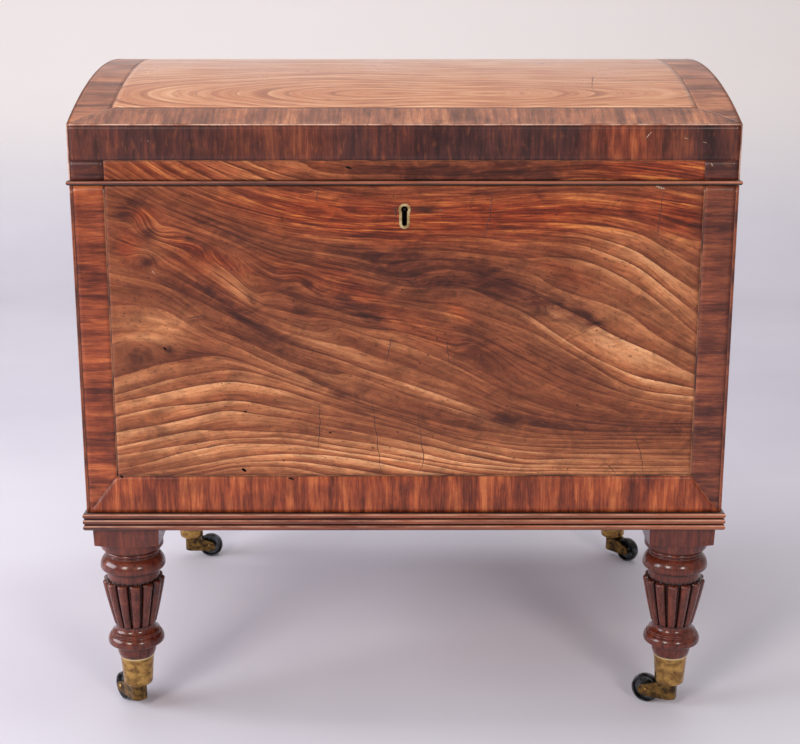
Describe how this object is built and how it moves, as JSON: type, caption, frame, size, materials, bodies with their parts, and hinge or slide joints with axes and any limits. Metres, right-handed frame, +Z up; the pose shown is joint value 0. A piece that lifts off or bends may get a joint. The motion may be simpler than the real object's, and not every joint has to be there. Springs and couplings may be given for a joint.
{
  "type": "cellarette",
  "caption": "Antique lidded box for bottles with a domed veneered lid, on turned reeded legs that end in brass cup castors",
  "frame": {"origin": "On the floor under the middle of the box", "axes": "+X right across the front, +Y from the front to the back, +Z up; the keyhole faces -Y"},
  "size_m": [0.689, 0.555, 0.7089],
  "materials": {
    "mahogany_veneer": "french polish",
    "turned_mahogany": "french polish",
    "plain_mahogany": "oiled",
    "sheet_lead": "dull",
    "cup_brass": "aged",
    "cabinet_brass": "aged",
    "castor_bronze": "tarnished"
  },
  "bodies": {
    "case": {"front_board": "mahogany_veneer", "back_board": "mahogany_veneer", "left_side_board": "mahogany_veneer", "right_side_board": "mahogany_veneer", "bottom_board": "plain_mahogany", "plinth_moulding_front": "turned_mahogany", "plinth_moulding_back": "turned_mahogany", "plinth_moulding_left": "turned_mahogany", "plinth_moulding_right": "turned_mahogany", "lead_lining": "sheet_lead", "bottle_divider_cross_1": "plain_mahogany", "bottle_divider_cross_2": "plain_mahogany", "bottle_divider_cross_3": "plain_mahogany", "bottle_divider_cross_4": "plain_mahogany", "bottle_divider_long_1": "plain_mahogany", "bottle_divider_long_2": "plain_mahogany", "bottle_divider_long_3": "plain_mahogany", "leg_front_left": "turned_mahogany", "leg_front_right": "turned_mahogany", "leg_rear_left": "turned_mahogany", "leg_rear_right": "turned_mahogany", "castor_cup_front_left": "cup_brass", "castor_cup_front_right": "cup_brass", "castor_cup_rear_left": "cup_brass", "castor_cup_rear_right": "cup_brass", "keyhole_escutcheon": "cabinet_brass", "hinge_leaf_lower_left": "cabinet_brass", "hinge_leaf_lower_right": "cabinet_brass", "hinge_pins": "cabinet_brass", "case_screws": "cabinet_brass", "lock_case": "cabinet_brass", "lock_key_pin": "cabinet_brass"},
    "lid": {"lid_front_rail": "mahogany_veneer", "lid_back_rail": "mahogany_veneer", "lid_left_end": "mahogany_veneer", "lid_right_end": "mahogany_veneer", "lid_stave_front": "mahogany_veneer", "lid_stave_middle": "mahogany_veneer", "lid_stave_rear": "mahogany_veneer", "cock_bead_front": "turned_mahogany", "cock_bead_left": "turned_mahogany", "cock_bead_right": "turned_mahogany", "lock_link_plate": "cabinet_brass", "lock_hooks": "cabinet_brass", "hinge_leaf_upper_left": "cabinet_brass", "hinge_leaf_upper_right": "cabinet_brass", "lid_screws": "cabinet_brass"},
    "bolt": {"lock_bolt": "cabinet_brass"},
    "swivel_front_left": {"castor_horn_front_left": "castor_bronze", "castor_axle_front_left": "castor_bronze"},
    "roller_front_left": {"castor_wheel_front_left": "castor_bronze"},
    "swivel_front_right": {"castor_horn_front_right": "castor_bronze", "castor_axle_front_right": "castor_bronze"},
    "roller_front_right": {"castor_wheel_front_right": "castor_bronze"},
    "swivel_rear_left": {"castor_horn_rear_left": "castor_bronze", "castor_axle_rear_left": "castor_bronze"},
    "roller_rear_left": {"castor_wheel_rear_left": "castor_bronze"},
    "swivel_rear_right": {"castor_horn_rear_right": "castor_bronze", "castor_axle_rear_right": "castor_bronze"},
    "roller_rear_right": {"castor_wheel_rear_right": "castor_bronze"}
  },
  "joints": [
    {"name": "lid_hinge", "type": "hinge", "parent": "case", "child": "lid", "pos_m": [0, 0.2696, 0.5984], "axis": [-1, 0, 0], "range_deg": [0, 95]},
    {"name": "lock_bolt_slide", "type": "slide", "parent": "case", "child": "bolt", "axis": [1, 0, 0], "range_m": [0, 0.006]},
    {"name": "castor_swivel_front_left", "type": "hinge", "parent": "case", "child": "swivel_front_left", "pos_m": [-0.3005, -0.2335, 0.0305], "axis": [0, 0, 1], "continuous": true},
    {"name": "castor_roll_front_left", "type": "hinge", "parent": "swivel_front_left", "child": "roller_front_left", "pos_m": [-0.31785, -0.21282, 0.0165], "axis": [-0.766, -0.6428, 0], "continuous": true},
    {"name": "castor_swivel_front_right", "type": "hinge", "parent": "case", "child": "swivel_front_right", "pos_m": [0.3005, -0.2335, 0.0305], "axis": [0, 0, 1], "continuous": true},
    {"name": "castor_roll_front_right", "type": "hinge", "parent": "swivel_front_right", "child": "roller_front_right", "pos_m": [0.27712, -0.22, 0.0165], "axis": [-0.5, -0.866, 0], "continuous": true},
    {"name": "castor_swivel_rear_left", "type": "hinge", "parent": "case", "child": "swivel_rear_left", "pos_m": [-0.3005, 0.2335, 0.0305], "axis": [0, 0, 1], "continuous": true},
    {"name": "castor_roll_rear_left", "type": "hinge", "parent": "swivel_rear_left", "child": "roller_rear_left", "pos_m": [-0.27354, 0.23491, 0.0165], "axis": [-0.0523, 0.9986, 0], "continuous": true},
    {"name": "castor_swivel_rear_right", "type": "hinge", "parent": "case", "child": "swivel_rear_right", "pos_m": [0.3005, 0.2335, 0.0305], "axis": [0, 0, 1], "continuous": true},
    {"name": "castor_roll_rear_right", "type": "hinge", "parent": "swivel_rear_right", "child": "roller_rear_right", "pos_m": [0.31926, 0.21408, 0.0165], "axis": [0.7193, 0.6947, 0], "continuous": true}
  ]
}
